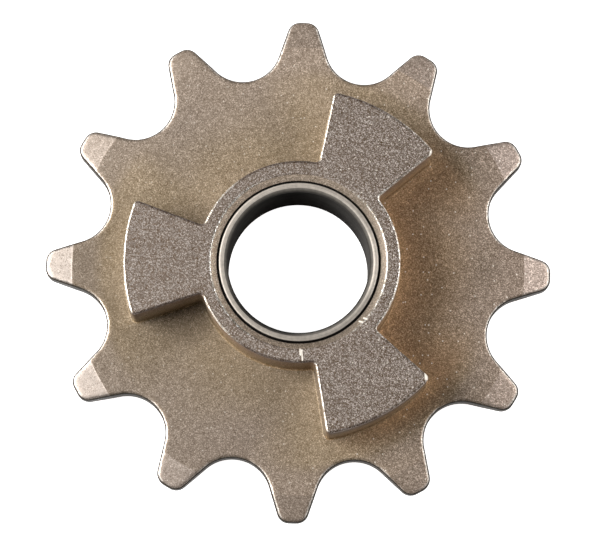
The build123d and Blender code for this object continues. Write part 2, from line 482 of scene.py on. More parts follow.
def cap_tree():
    """Flat faces that fill the open edges of a mesh at one height."""
    graph, given = geometry_tree("flat cap", {"Mesh": "geometry", "Height": "length"})
    ends = graph.node("GeometryNodeInputMeshEdgeVertices").outputs
    faces = graph.node("GeometryNodeInputMeshEdgeNeighbors").outputs[0]
    chosen = graph.calc("COMPARE", faces, 1.0, 0.1)
    for end in (ends["Position 1"], ends["Position 2"]):
        level = graph.calc("COMPARE", graph.split(end)[2], given["Height"], FLAT)
        chosen = graph.times(chosen, level)
    loops = graph.node("GeometryNodeMeshToCurve", {"Mesh": given["Mesh"], "Selection": chosen})
    filled = graph.node("GeometryNodeFillCurve", {"Curve": loops.outputs[0]})
    raised = graph.node("GeometryNodeSetPosition", {
        "Geometry": filled.outputs[0], "Offset": graph.combine(0.0, 0.0, given["Height"]),
    })
    return finish_tree(graph, raised.outputs[0])


CAP = cap_tree()
print("cap tree has", len(CAP.nodes), "nodes")

# %% The rim section and its cone
# A section has this many points in each arc and in each line.
ARC_ROWS = 6
LINE_ROWS = 2
RIM_ROWS = 2 * ARC_ROWS + 3 * LINE_ROWS
TOOTH_COLUMNS = 100


def rim_tree():
    """The rim around the teeth with its rounded edges, thinned by a cone on both faces."""
    graph, given = geometry_tree("toothed rim", {
        "Outline": "geometry", "Columns": "count", "Plate Front": "length", "Plate Back": "length",
        "Edge Radius": "length", "Face Margin": "length", "Bevel Start": "length", "Bevel Slope": "share",
        "Wear": "share",
    })
    front, back, edge = given["Plate Front"], given["Plate Back"], given["Edge Radius"]
    inset = graph.times(given["Face Margin"], -1.0)
    edge_x = graph.times(edge, -1.0)
    front_centre = (edge_x, graph.minus(front, edge))
    back_centre = (edge_x, graph.plus(back, edge))
    wall_front = graph.minus(front, graph.times(edge, 2.0))
    wall_back = graph.plus(back, graph.times(edge, 2.0))
    section = join(graph, [
        line(graph, (inset, front), (inset, front)),
        arc(graph, edge, pi / 2, -pi / 2, ARC_ROWS, front_centre, 1.0),
        line(graph, (0.0, wall_front), (0.0, wall_back)),
        arc(graph, edge, 0.0, -pi / 2, ARC_ROWS, back_centre, 1.0),
        line(graph, (inset, back), (inset, back)),
    ])
    rim = use_tree(graph, SKIN, {
        "Outline": given["Outline"], "Section": section, "Columns": given["Columns"], "Rows": RIM_ROWS,
        "Worn Edge": edge, "Wear": given["Wear"],
    })
    # The first and last row are pulled in to the ring where the cone starts.
    index = graph.node("GeometryNodeInputIndex").outputs[0]
    row = graph.calc("FLOORED_MODULO", index, float(RIM_ROWS))
    from_middle = graph.calc("ABSOLUTE", graph.minus(row, (RIM_ROWS - 1) / 2))
    on_ring = graph.calc("GREATER_THAN", from_middle, RIM_ROWS / 2 - 1)
    place = graph.node("GeometryNodeInputPosition").outputs[0]
    radius = graph.from_axis(place)
    pulled = graph.over(graph.calc("MINIMUM", radius, given["Bevel Start"]), radius)
    x, y, z = graph.split(place)
    ring = graph.node("GeometryNodeSetPosition", {
        "Geometry": rim, "Selection": on_ring,
        "Position": graph.combine(graph.times(x, pulled), graph.times(y, pulled), z),
    })
    # Outside the ring the front drops and the back rises.
    beyond = graph.calc("MAXIMUM", graph.minus(radius, given["Bevel Start"]), 0.0)
    drop = graph.times(beyond, given["Bevel Slope"])
    upper = graph.calc("LESS_THAN", row, RIM_ROWS / 2)
    way = graph.calc("MULTIPLY_ADD", upper, -2.0, 1.0)
    coned = graph.node("GeometryNodeSetPosition", {
        "Geometry": ring.outputs[0], "Offset": graph.combine(0.0, 0.0, graph.times(drop, way)),
    })
    return finish_tree(graph, coned.outputs[0])


RIM = rim_tree()
print(f"the rim has {RIM_ROWS} rows and {TOOTH_COLUMNS} columns for each tooth")

# %% Sizes of the body
PLATE_BACK = 1.2 * MM
TOP = PLATE_FRONT + 6.7 * MM
BEVEL_REACH = 2.8 * MM
BEVEL_DROP = 0.4 * MM
BEVEL_START = TIP_RADIUS - BEVEL_REACH
BEVEL_SLOPE = BEVEL_DROP / BEVEL_REACH
PLATE_EDGE = 0.35 * MM
DOG_EDGE = 0.17 * MM
DOG_ROOT = 0.25 * MM
FACE_MARGIN = 0.3 * MM
BORE_FRONT_CHAMFER = 0.7 * MM
BORE_BACK_CHAMFER = 0.3 * MM
BOSS_RADIUS = BORE_RADIUS + 2.1 * MM
BOSS_EDGE = 0.3 * MM
DOG_COLUMNS = 300
BORE_COLUMNS = 360
HALF_ARC_ROWS = 4
print(f"the body is {TOP / MM:.1f} mm high and its boss {2 * BOSS_RADIUS / MM:.1f} mm across")


# %% Hub wall, bore and boss
def circle_outline(graph, radius):
    """A circle around the axis as an outline."""
    return arc(graph, radius, 0.0, 2 * pi, BORE_COLUMNS + 1)


def hub_skin(graph, wear):
    """The wall of hub and dogs, from the fillet on the plate to the rounded top edge."""
    outline = use_tree(graph, DOG_OUTLINE, DOG_SIZES)
    section = join(graph, [
        arc(graph, DOG_ROOT, 1.5 * pi, -pi / 2, ARC_ROWS, (DOG_ROOT, PLATE_FRONT + DOG_ROOT)),
        line(graph, (0.0, PLATE_FRONT + 2 * DOG_ROOT), (0.0, TOP - DOG_EDGE - FACE_MARGIN)),
        arc(graph, DOG_EDGE, 0.0, pi / 2, ARC_ROWS, (-DOG_EDGE, TOP - DOG_EDGE), 1.0),
        line(graph, (-FACE_MARGIN, TOP), (-FACE_MARGIN, TOP)),
    ])
    return use_tree(graph, SKIN, {
        "Outline": outline, "Section": section, "Columns": DOG_COUNT * DOG_COLUMNS,
        "Rows": 2 * ARC_ROWS + 2 * LINE_ROWS, "Worn Edge": DOG_EDGE, "Wear": wear,
    })


def bore_skin(graph):
    """The bore with its chamfered mouths, and the boss that the sprocket stands on."""
    mouth_edge_run = DOG_EDGE * (sqrt(2) - 1)
    mouth_x = BORE_FRONT_CHAMFER + mouth_edge_run
    half_chamfer = BORE_FRONT_CHAMFER / 2
    boss_x = BOSS_RADIUS - BORE_RADIUS
    section = join(graph, [
        line(graph, (mouth_x + FACE_MARGIN, TOP), (mouth_x + FACE_MARGIN, TOP)),
        arc(graph, DOG_EDGE, pi / 2, pi / 4, HALF_ARC_ROWS, (mouth_x, TOP - DOG_EDGE), 1.0),
        line(graph, (half_chamfer, TOP - half_chamfer), (0.0, TOP - BORE_FRONT_CHAMFER)),
        line(graph, (0.0, TOP / 2), (0.0, BORE_BACK_CHAMFER)),
        line(graph, (BORE_BACK_CHAMFER, 0.0), (boss_x - BOSS_EDGE, 0.0)),
        arc(graph, BOSS_EDGE, 1.5 * pi, pi / 2, ARC_ROWS, (boss_x - BOSS_EDGE, BOSS_EDGE), 1.0),
        line(graph, (boss_x, PLATE_BACK), (boss_x, PLATE_BACK)),
    ])
    return use_tree(graph, SKIN, {
        "Outline": circle_outline(graph, BORE_RADIUS), "Section": section, "Columns": BORE_COLUMNS,
        "Rows": HALF_ARC_ROWS + ARC_ROWS + 5 * LINE_ROWS, "Worn Edge": 0.0, "Wear": 0.0,
    })


print(f"the wall has {DOG_COUNT * DOG_COLUMNS} columns and the bore {BORE_COLUMNS}")


# %% The whole body
def body_tree():
    """Rim, hub wall and bore, welded together and capped."""
    graph, given = geometry_tree("sprocket body", {"Wear": "share", "Material": "material"})
    rim = use_tree(graph, RIM, {
        "Outline": use_tree(graph, TOOTH_OUTLINE, TOOTH_SIZES), "Columns": TOOTH_COUNT * TOOTH_COLUMNS,
        "Plate Front": PLATE_FRONT, "Plate Back": PLATE_BACK, "Edge Radius": PLATE_EDGE,
        "Face Margin": PLATE_EDGE + FACE_MARGIN, "Bevel Start": BEVEL_START, "Bevel Slope": BEVEL_SLOPE,
        "Wear": given["Wear"],
    })
    skins = join(graph, [rim, hub_skin(graph, given["Wear"]), bore_skin(graph)])
    welded = graph.node("GeometryNodeMergeByDistance", {"Geometry": skins, "Distance": WELD}).outputs[0]
    shells = [welded]
    for height in (PLATE_FRONT, PLATE_BACK, TOP):
        shells.append(use_tree(graph, CAP, {"Mesh": welded, "Height": height}))
    whole = join(graph, shells)
    closed = graph.node("GeometryNodeMergeByDistance", {"Geometry": whole, "Distance": WELD}).outputs[0]
    real = graph.node("GeometryNodeRealizeInstances", {0: closed}).outputs[0]
    painted = graph.node("GeometryNodeSetMaterial", {"Geometry": real, "Material": given["Material"]})
    return finish_tree(graph, painted.outputs[0])


BODY = body_tree()
print("body tree has", len(BODY.nodes), "nodes")

# %% [markdown]
# ## From tree to plain mesh
#
# A modifier's result only lives in the viewport, and the export drops it. So the evaluated object is
# turned into a plain mesh, its normals are pointed outwards, and the modifier's carrier is thrown away.
# A closed shell is easy to test: every edge has two faces, and its volume should be the CAD solid's.

# %% Evaluate, clean and measure
SHARP_DEGREES = 30


def plain_mesh(name, tree, values):
    """An object with the plain mesh that a geometry tree gives for named input values."""
    carrier = bpy.data.objects.new(name + "_carrier", bpy.data.meshes.new(name + "_carrier"))
    bpy.context.scene.collection.objects.link(carrier)
    modifier = carrier.modifiers.new("nodes", "NODES")
    modifier.node_group = tree
    for item in tree.interface.items_tree:
        if item.in_out == "INPUT" and item.name in values:
            modifier[item.identifier] = values[item.name]
    depsgraph = bpy.context.evaluated_depsgraph_get()
    mesh = bpy.data.meshes.new_from_object(carrier.evaluated_get(depsgraph), depsgraph=depsgraph)
    bpy.data.objects.remove(carrier)
    mesh.name = name
    piece = bpy.data.objects.new(name, mesh)
    bpy.context.scene.collection.objects.link(piece)
    return piece


def close_and_smooth(piece):
    """Cleans a closed shell, points its faces outwards and shades it smooth up to the sharp angle."""
    shell = bmesh.new()
    shell.from_mesh(piece.data)
    bmesh.ops.dissolve_degenerate(shell, dist=WELD, edges=shell.edges)
    bmesh.ops.recalc_face_normals(shell, faces=shell.faces)
    if shell.calc_volume(signed=True) < 0:
        bmesh.ops.reverse_faces(shell, faces=shell.faces)
    open_edges = sum(1 for edge in shell.edges if len(edge.link_faces) != 2)
    volume = shell.calc_volume()
    shell.to_mesh(piece.data)
    shell.free()
    piece.data.polygons.foreach_set("use_smooth", [True] * len(piece.data.polygons))
    piece.data.set_sharp_from_angle(angle=radians(SHARP_DEGREES))
    # The ring where the tips' cone starts is too shallow for the sharp angle, so it is marked here.
    for edge in piece.data.edges:
        ends = [piece.data.vertices[index].co.to_2d().length for index in edge.vertices]
        if all(abs(reach - BEVEL_START) < FLAT for reach in ends):
            edge.use_edge_sharp = True
    faces = len(piece.data.polygons)
    print(f"{piece.name}: {faces} faces, {open_edges} open edges, {volume / MM ** 3:.0f} mm3")
    return piece


print("edges over", SHARP_DEGREES, "degrees are shaded sharp")

# %% The sprocket's mesh
EDGE_WEAR = 0.5
sintered_steel = bpy.data.materials.new("sintered_steel")
sintered_steel.use_nodes = True
body_values = {"Wear": EDGE_WEAR, "Material": sintered_steel}
sprocket = close_and_smooth(plain_mesh("sprocket", BODY, body_values))
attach(sprocket, "root")
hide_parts("sprocket_body")

# %% [markdown]
# ## The bearing bush
#
# A thin steel sleeve is pressed into the bore, so the shaft runs on it and not on the porous body. It
# was turned on a lathe: chamfered inside at both ends, and tapered outside so that it starts straight
# when it is pressed in. It could be spun from a profile; the skin tree does the same with a circle as
# its outline and a section that closes on itself.

# %% Sizes of the bush
BUSH_WALL = 1.1 * MM
BUSH_FRONT = TOP - 0.4 * MM
BUSH_BACK = 0.5 * MM
BUSH_INNER_CHAMFER = 0.4 * MM
BUSH_TAPER_DEPTH = 0.2 * MM
BUSH_TAPER_LENGTH = 0.6 * MM
BUSH_CROWN_RADIUS = 1.4 * MM
CROWN_ROWS = 7
print(f"the bush is {(BUSH_FRONT - BUSH_BACK) / MM:.1f} mm long with a wall of {BUSH_WALL / MM:.1f} mm")


# %% The bush tree
def bush_tree():
    """A sleeve with chamfers, tapers and a slightly crowned front rim."""
    graph, given = geometry_tree("bearing bush", {
        "Outer Radius": "length", "Wall": "length", "Front": "length", "Back": "length",
        "Inner Chamfer": "length", "Taper Depth": "length", "Taper Length": "length",
        "Crown Radius": "length", "Material": "material",
    })
    front, back = given["Front"], given["Back"]
    bore_x = graph.times(given["Wall"], -1.0)
    mouth_x = graph.plus(bore_x, given["Inner Chamfer"])
    taper_x = graph.times(given["Taper Depth"], -1.0)
    rim_half = graph.times(graph.minus(taper_x, mouth_x), 0.5)
    crown_height = graph.minus(front, given["Crown Radius"])
    crown_centre = (graph.plus(mouth_x, rim_half), crown_height)
    crown_lean = graph.calc("ARCSINE", graph.over(rim_half, given["Crown Radius"]))
    crown_start = graph.minus(pi / 2, crown_lean)
    crown_sweep = graph.times(crown_lean, 2.0)
    bore_front = graph.minus(front, given["Inner Chamfer"])
    bore_back = graph.plus(back, given["Inner Chamfer"])
    taper_front = graph.minus(front, given["Taper Length"])
    taper_back = graph.plus(back, given["Taper Length"])
    section = join(graph, [
        line(graph, (mouth_x, back), (taper_x, back)),
        line(graph, (0.0, taper_back), (0.0, taper_front)),
        arc(graph, given["Crown Radius"], crown_start, crown_sweep, CROWN_ROWS, crown_centre),
        line(graph, (bore_x, bore_front), (bore_x, bore_back)),
        line(graph, (mouth_x, back), (mouth_x, back)),
    ])
    sleeve = use_tree(graph, SKIN, {
        "Outline": circle_outline(graph, given["Outer Radius"]), "Section": section, "Columns": BORE_COLUMNS,
        "Rows": CROWN_ROWS + 4 * LINE_ROWS, "Worn Edge": 0.0, "Wear": 0.0,
    })
    welded = graph.node("GeometryNodeMergeByDistance", {"Geometry": sleeve, "Distance": WELD}).outputs[0]
    real = graph.node("GeometryNodeRealizeInstances", {0: welded}).outputs[0]
    painted = graph.node("GeometryNodeSetMaterial", {"Geometry": real, "Material": given["Material"]})
    return finish_tree(graph, painted.outputs[0])


BUSH = bush_tree()
print("bush tree has", len(BUSH.nodes), "nodes")

# %% The bush's mesh
bush_steel = bpy.data.materials.new("bush_steel")
bush_steel.use_nodes = True
bush_values = {
    "Outer Radius": BORE_RADIUS, "Wall": BUSH_WALL, "Front": BUSH_FRONT, "Back": BUSH_BACK,
    "Inner Chamfer": BUSH_INNER_CHAMFER, "Taper Depth": BUSH_TAPER_DEPTH, "Taper Length": BUSH_TAPER_LENGTH,
    "Crown Radius": BUSH_CROWN_RADIUS, "Material": bush_steel,
}
bush = close_and_smooth(plain_mesh("bush", BUSH, bush_values))
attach(bush, "root")
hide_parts("bearing_bush")

# %% [markdown]
# ## The finish of sintered steel
#
# Sintered steel is pressed from powder, so its faces are grainy. The raised faces were struck by the
# punch and show coarse grey grain. The plate is finer, and oil and heat have left a brown tint on it in
# random clouds; deepest at the foot of the walls, the brown is painted warm light reflected from them.
# The tips are paler, partly worn by the chain and partly painted highlight. A painted texture could hold
# all of this, but it would blur up close. So one material reads the distance to the axis, the height and
# the way a surface faces, and turns them into masks that say which face a point is on.

# %% Masks by place
HUB_ZONE = (12.0 * MM, 11.0 * MM)
TEETH_ZONE = (19.0 * MM, 20.0 * MM)


def faces_of(graph):
    """Numbers that tell the faces of the body apart, mostly masks from 0 to 1."""
    place = graph.node("ShaderNodeTexCoord").outputs["Object"]
    x, y, height = graph.split(place)
    radius = graph.from_axis(place)
    angle = graph.calc("ARCTAN2", y, x)
    turn = graph.calc("FLOORED_MODULO", angle, 2 * pi / DOG_COUNT)
    from_dog = graph.calc("ABSOLUTE", graph.minus(turn, pi / DOG_COUNT))
    past_side = graph.calc("MAXIMUM", graph.minus(from_dog, DOG_HALF_ANGLE), 0.0)
    beside = graph.times(radius, graph.calc("SINE", past_side))
    beyond = graph.calc("MAXIMUM", graph.minus(radius, DOG_RADIUS), 0.0)
    squares = graph.calc("MULTIPLY_ADD", beside, beside, graph.times(beyond, beyond))
    to_hub = graph.minus(radius, HUB_RADIUS)
    # The lean of a surface is 1 on a flat face and 0 on an upright wall.
    normal = graph.node("ShaderNodeNewGeometry").outputs["Normal"]
    lean = graph.calc("ABSOLUTE", graph.split(normal)[2])
    sideways = graph.calc("MAXIMUM", graph.from_axis(normal), 0.001)
    at_teeth = graph.smooth(radius, *TEETH_ZONE)
    # Close to the plate even a slight lean counts as wall, so that the fillet gets the wall's colour.
    low = graph.smooth(height, PLATE_FRONT + 1.0 * MM, PLATE_FRONT + 0.5 * MM)
    low = graph.times(low, graph.minus(1.0, at_teeth))
    wall_start = graph.between(low, 0.4, 0.998)
    wall_full = graph.between(low, 0.1, 0.9)
    return {
        "place": place, "radius": radius, "angle": angle, "height": height,
        "foot": graph.calc("MINIMUM", graph.calc("SQRT", squares), to_hub),
        "facing": graph.over(graph.split(normal)[0], sideways),
        "to_right": graph.calc("MULTIPLY_ADD", graph.calc("COSINE", angle), 0.5, 0.5),
        "hub": graph.smooth(radius, *HUB_ZONE),
        "top": graph.smooth(height, TOP - 0.1 * MM, TOP - 0.02 * MM),
        "raised": graph.smooth(height, PLATE_FRONT + 1.0 * MM, PLATE_FRONT + 2.0 * MM),
        "tip": graph.smooth(radius, BEVEL_START - 0.03 * MM, BEVEL_START + 0.06 * MM),
        "bore": graph.smooth(radius, BORE_RADIUS + 0.75 * MM, BORE_RADIUS + 0.65 * MM),
        "groove": graph.smooth(radius, BORE_RADIUS + 0.09 * MM, BORE_RADIUS + 0.03 * MM),
        "edge": graph.node("ShaderNodeAttribute", attribute_name="worn_edge").outputs["Fac"],
        "wall": graph.smooth(lean, wall_start, wall_full),
        "flat": graph.smooth(lean, 0.9, 0.97),
        "flank": graph.times(graph.smooth(lean, 0.82, 0.7), at_teeth),
        "rim_edge": graph.times(graph.smooth(lean, 0.97, 0.93), at_teeth),
    }


print(f"the teeth start {TEETH_ZONE[0] / MM:.0f} mm from the axis for the masks")

# %% [markdown]
# ## Colours of the faces
#
# No face has one even colour. The plate is brown round the hub and greyer at the teeth, with soft
# lighter and darker patches; its brown near the walls is painted warm light reflected from them, and a
# darker, browner painted shadow lies to the right, where the hub shades it. The tips are paler, partly
# worn and partly painted highlight. The chamfer of the bore is bare, painted lighter on the left and
# darker on the right, and the walls darken towards their top, with painted light and shade by the way
# they face. Each face gets a function of its own that starts from a plain colour and tones it by masks,
# because a single big formula would be hard to change later.

# %% Toning, directions and patches
def scaled(graph, colour, share):
    """A colour made brighter or darker."""
    return graph.node("ShaderNodeVectorMath", {0: colour, "Scale": share}, operation="SCALE").outputs[0]


def toned(graph, colour, mask, share):
    """A colour that is scaled by a share where a mask is 1 and kept where it is 0."""
    return scaled(graph, colour, graph.between(mask, 1.0, share))


def towards(graph, angle, direction):
    """1 where an angle around the axis has a direction in degrees, falling to -1 opposite it."""
    return graph.calc("COSINE", graph.minus(angle, radians(direction)))


def soft_patch(graph, place, centre, reach):
    """A round mask seen from above: 1 at its centre, fading to 0 at its reach."""
    x, y = centre
    flat = graph.vector("SUBTRACT", place, (x * MM, y * MM, 0.0))
    return graph.smooth(graph.from_axis(flat), reach * MM, 0.0)


# Each patch of the plate: its centre and its reach in mm, and its brightness against the plate.
PLATE_PATCHES = [
    ((11.5, 20.0), 8.0, 1.18),
    ((0.0, 22.5), 7.0, 1.16),
    ((17.5, 10.0), 5.0, 1.17),
    ((-16.5, 9.5), 3.5, 1.15),
    ((-12.0, 12.0), 7.0, 0.88),
    ((0.0, -22.0), 7.0, 1.14),
    ((5.0, -18.8), 4.0, 1.15),
    ((11.5, -19.5), 7.0, 1.06),
    ((16.0, 2.0), 4.0, 1.1),
    ((19.7, 0.6), 2.5, 0.86),
]
print(len(PLATE_PATCHES), "soft patches on the plate")

# %% Colours of the plate
GREY_LEFT = (0.36, 0.291, 0.232, 1.0)
GREY_RIGHT = (0.37, 0.288, 0.229, 1.0)
# A brown tint in random clouds, deepest near the walls, where it is painted warm light reflected from them.
BROWN_TINT_AND_REFLECTION = (0.341, 0.26, 0.165, 1.0)
# The hub's shadow on the plate to the right is painted darker and browner, and lighter at the foot of the
# walls, as light reflected from them.
SHADOW_BROWN = (0.355, 0.219, 0.123, 1.0)
SHADOW_FOOT_REFLECTION = (0.45, 0.28, 0.153, 1.0)
TINT_REACH = 9.5 * MM
TINT_END = (20.0 * MM, 21.8 * MM)
SHADOW_END = (21.5 * MM, 18.5 * MM)
SHADOW_DIRECTION = -12
LOWER_LEFT = (-0.707, -0.707, 0.0)


def plate_colour(graph, face):
    """Brown at the hub, greyer at the teeth, a painted shadow to the right; also gives the shadow's mask."""
    cloud = graph.noise(face["place"], 9.0 * MM, 2.0, 0.5)
    # Near the walls the tint is painted warm light reflected from them.
    near_foot = graph.smooth(face["foot"], TINT_REACH, 2.0 * MM)
    tint = graph.calc("MULTIPLY_ADD", near_foot, 0.65, graph.calc("MULTIPLY_ADD", cloud, 0.7, -0.3))
    tint = graph.times(tint, graph.between(graph.smooth(face["radius"], *TINT_END), 1.0, 0.3))
    grey = graph.blend(face["to_right"], GREY_LEFT, GREY_RIGHT)
    colour = graph.blend(tint, grey, BROWN_TINT_AND_REFLECTION)
    # The plate is darker towards the lower left.
    lower_left_darker = graph.smooth(graph.vector_dot(face["place"], LOWER_LEFT), 3.0 * MM, 16.0 * MM)
    colour = toned(graph, colour, lower_left_darker, 0.83)
    for centre, reach, share in PLATE_PATCHES:
        colour = toned(graph, colour, soft_patch(graph, face["place"], centre, reach), share)
    # Painted shadow where the hub and dogs shade the plate to the right.
    right_shadow = graph.smooth(towards(graph, face["angle"], SHADOW_DIRECTION), 0.35, 0.75)
    right_shadow = graph.times(right_shadow, graph.smooth(face["foot"], TINT_REACH, 0.0))
    right_shadow = graph.times(right_shadow, graph.smooth(face["radius"], *SHADOW_END))
    at_foot = graph.smooth(face["foot"], 2.0 * MM, 0.3 * MM)
    brown = graph.blend(at_foot, SHADOW_BROWN, SHADOW_FOOT_REFLECTION)
    return graph.blend(right_shadow, colour, brown), right_shadow


print(f"the tint reaches {TINT_REACH / MM:.1f} mm from the walls")

# %% Colours of the rubbed tips
TIP_LEFT_DARK = (0.395, 0.337, 0.294, 1.0)
TIP_LEFT_PALE = (0.47, 0.41, 0.362, 1.0)
# The right tips are a lit copy of the tip colour, painted lighter as light.
TIP_RIGHT_LIT_DARK = (0.5, 0.397, 0.335, 1.0)
TIP_RIGHT_LIT_PALE = (0.59, 0.478, 0.412, 1.0)
RIDGE_RADIUS = BEVEL_START + 0.07 * MM


def tip_colour(graph, face, mottle):
    """Paler tips, partly worn and partly painted highlight to the left and right, with a painted highlight
    line.
    """
    left = graph.blend(mottle, TIP_LEFT_DARK, TIP_LEFT_PALE)
    right = graph.blend(mottle, TIP_RIGHT_LIT_DARK, TIP_RIGHT_LIT_PALE)
    colour = graph.blend(face["to_right"], left, right)
    # Painted shade on the tips at the far left.
    colour = toned(graph, colour, graph.smooth(face["to_right"], 0.12, 0.0), 0.77)
    # A painted highlight along the ring where the cone starts, on the left only.
    from_ridge = graph.calc("ABSOLUTE", graph.minus(face["radius"], RIDGE_RADIUS))
    ridge_highlight = graph.smooth(from_ridge, 0.16 * MM, 0.04 * MM)
    ridge_highlight = graph.times(ridge_highlight, graph.smooth(face["to_right"], 0.3, 0.0))
    # The tips are paler most to the left and right: partly wear, partly painted highlight.
    two_sided = graph.calc("COSINE", graph.calc("MULTIPLY_ADD", face["angle"], 2.0, radians(-30)))
    worn_and_lit = graph.times(face["tip"], graph.calc("MULTIPLY_ADD", two_sided, 0.5, 0.5))
    return toned(graph, colour, ridge_highlight, 1.3), worn_and_lit


print(f"the tips are rubbed from {BEVEL_START / MM:.1f} mm outwards")

# %% Colours of the chamfer and the walls
# The chamfer is painted lighter on the left and darker on the right, as light and shade.
CHAMFER_LIT_LEFT = (0.65, 0.515, 0.4, 1.0)
CHAMFER_SHADED_RIGHT = (0.33, 0.27, 0.212, 1.0)
WALL_FOOT_LEFT = (0.3, 0.219, 0.13, 1.0)
WALL_FOOT_RIGHT = (0.33, 0.212, 0.117, 1.0)
WALL_TOP = (0.19, 0.127, 0.088, 1.0)
# Walls that face left are painted darker, as shade.
WALL_FACING_LEFT_SHADE = (0.2, 0.153, 0.105, 1.0)
DOG_ARC_ZONE = (17.0 * MM, 17.8 * MM)


def chamfer_colour(graph, face):
    """Bare steel painted lighter on the left and darker on the right, and its metallic share, less towards
    the top.
    """
    angle = face["angle"]
    colour = graph.blend(face["to_right"], CHAMFER_LIT_LEFT, CHAMFER_SHADED_RIGHT)
    # Painted highlight towards the left, and painted shade where the right side glints.
    left = graph.calc("MAXIMUM", towards(graph, angle, 195), 0.0)
    glint = graph.smooth(towards(graph, angle, 0), 0.85, 1.0)
    share = graph.calc("MULTIPLY_ADD", left, 0.18, 1.0)
    colour = scaled(graph, colour, graph.calc("MULTIPLY_ADD", glint, -0.12, share))
    dulled = graph.smooth(towards(graph, angle, 105), 0.4, 0.95)
    return colour, graph.between(dulled, 0.8, 0.45)


def wall_colour(graph, face):
    """The walls of hub and dogs: browner at the foot, greyer to the left, with painted light and shade by
    direction.
    """
    up = graph.smooth(face["height"], PLATE_FRONT, TOP)
    foot = graph.blend(face["to_right"], WALL_FOOT_LEFT, WALL_FOOT_RIGHT)
    colour = graph.blend(up, foot, WALL_TOP)
    colour = graph.blend(graph.smooth(face["facing"], -0.75, -0.95), colour, WALL_FACING_LEFT_SHADE)
    upper = graph.smooth(graph.split(face["place"])[1], 0.0, 5.0 * MM)
    shaded_arc_below = graph.minus(graph.smooth(face["radius"], *DOG_ARC_ZONE), upper)
    # The hub's wall is lighter towards its top, and the dogs' outer arcs below the middle get painted shade.
    colour = toned(graph, colour, graph.times(face["hub"], up), 1.22)
    colour = toned(graph, colour, graph.times(shaded_arc_below, up), 0.6)
    # Painted light on the walls of the upper right and the hub that face right.
    above_foot = graph.smooth(face["height"], PLATE_FRONT + 0.2 * MM, PLATE_FRONT + 1.4 * MM)
    lit_facing_right = graph.times(graph.calc("MAXIMUM", upper, face["hub"]), above_foot)
    lit_facing_right = graph.times(lit_facing_right, graph.smooth(face["facing"], 0.3, 0.6))
    return toned(graph, colour, lit_facing_right, 1.45)


print(f"the walls are {(TOP - PLATE_FRONT) / MM:.1f} mm high")

# %% [markdown]
# ## Wear, grain and marks
#
# The raised edges are paler where they stand out to the left and right, partly worn bare by handling
# and partly painted highlight, and the other raised edges get painted shade. The powder shows as grains
# of a tenth of a millimetre, each a tiny facet that leans its own way, with pits between them. A few
# bright flecks on the flat faces are painted glints, and the top carries scratches and nicks from
# fitting. Voronoi cells make the grains, since each cell has its own random numbers. The scratches are
# real damage in known places, so they are written as short strokes.

# %% Worn edges
MOUTH_ZONE = (9.5 * MM, 9.8 * MM)


def worn_edges(graph, face, patch):
    """Masks of raised edges: paler to the left and right, as wear and painted highlight, and painted shade on
    the rest.
    """
    edge = graph.times(face["edge"], face["raised"])
    upper = graph.smooth(graph.split(face["place"])[1], -5.0 * MM, 5.0 * MM)
    on_dogs = graph.between(upper, 0.15, 0.5)
    right_share = graph.between(face["hub"], on_dogs, 1.0)
    to_right = graph.times(graph.smooth(face["facing"], 0.4, 0.7), right_share)
    sideways = graph.calc("MAXIMUM", graph.smooth(face["facing"], -0.5, -0.8), to_right)
    sideways = graph.times(sideways, graph.smooth(edge, 0.7, 0.95))
    # Edges that face left and right: partly wear, partly painted highlight; the rest get painted shade.
    worn = graph.times(edge, sideways, graph.smooth(patch, 0.25, 0.5))
    shaded_edges = graph.times(edge, graph.minus(1.0, sideways), graph.smooth(face["radius"], *MOUTH_ZONE))
    return worn, shaded_edges


print(f"the edge of the bore's mouth ends {MOUTH_ZONE[1] / MM:.1f} mm from the axis")

# %% Grain
GRAIN = 0.08 * MM
DARKEST = (0.004, 0.003, 0.002)


def grain_facets(graph, place, size, tilt):
    """Powder grains as small facets: random numbers for each grain, and a normal that leans with them."""
    cells = graph.node("ShaderNodeTexVoronoi", {"Vector": place, "Scale": 1.0 / size})
    lean = graph.vector("SUBTRACT", cells.outputs["Color"], (0.5, 0.5, 0.5))
    normal = graph.node("ShaderNodeNewGeometry").outputs["Normal"]
    leaning = graph.vector("NORMALIZE", graph.vector("ADD", normal, scaled(graph, lean, tilt)))
    return graph.split(cells.outputs["Color"]), leaning


def grained(graph, face, colour, right_shadow, worn_and_lit, patch):
    """A colour broken up by grains, most on the struck faces, and the normal of the grains."""
    top = face["top"]
    chances, normal = grain_facets(graph, face["place"], GRAIN, graph.between(top, 0.1, 0.24))
    depth = graph.between(top, graph.between(right_shadow, 1.25, 0.75), 2.15)
    depth = graph.times(depth, graph.between(worn_and_lit, 1.0, 0.65))
    bright = graph.minus(graph.calc("POWER", chances[0], 3.0), 0.25)
    swing = graph.calc("MULTIPLY_ADD", bright, depth, 1.0)
    pits = graph.times(graph.smooth(chances[1], 0.75, 1.0), graph.between(top, 0.45, 0.55))
    swing = graph.times(swing, graph.minus(1.04, pits))
    uneven_plate = graph.calc("MULTIPLY_ADD", patch, 0.6, 0.7)
    uneven_top = graph.calc("MULTIPLY_ADD", patch, 0.3, 0.85)
    swing = graph.calc("MULTIPLY_ADD", swing, graph.between(top, uneven_plate, uneven_top), -1.0)
    # The grains of the struck faces are greyer than the tint under them.
    keep = graph.between(top, graph.between(right_shadow, 0.75, 1.0), 0.45)
    greyer = graph.node("ShaderNodeHueSaturation", {"Saturation": keep, "Color": colour}).outputs[0]
    colour = graph.vector("ADD", colour, scaled(graph, greyer, swing))
    return graph.vector("MAXIMUM", colour, DARKEST), normal


print(f"grains are {GRAIN / MM:.2f} mm wide")

# %% Flecks
FLECK_SPACING = 0.8 * MM
FLECK_SIZE = 0.13 * MM
FLECK_SHARE = 0.15


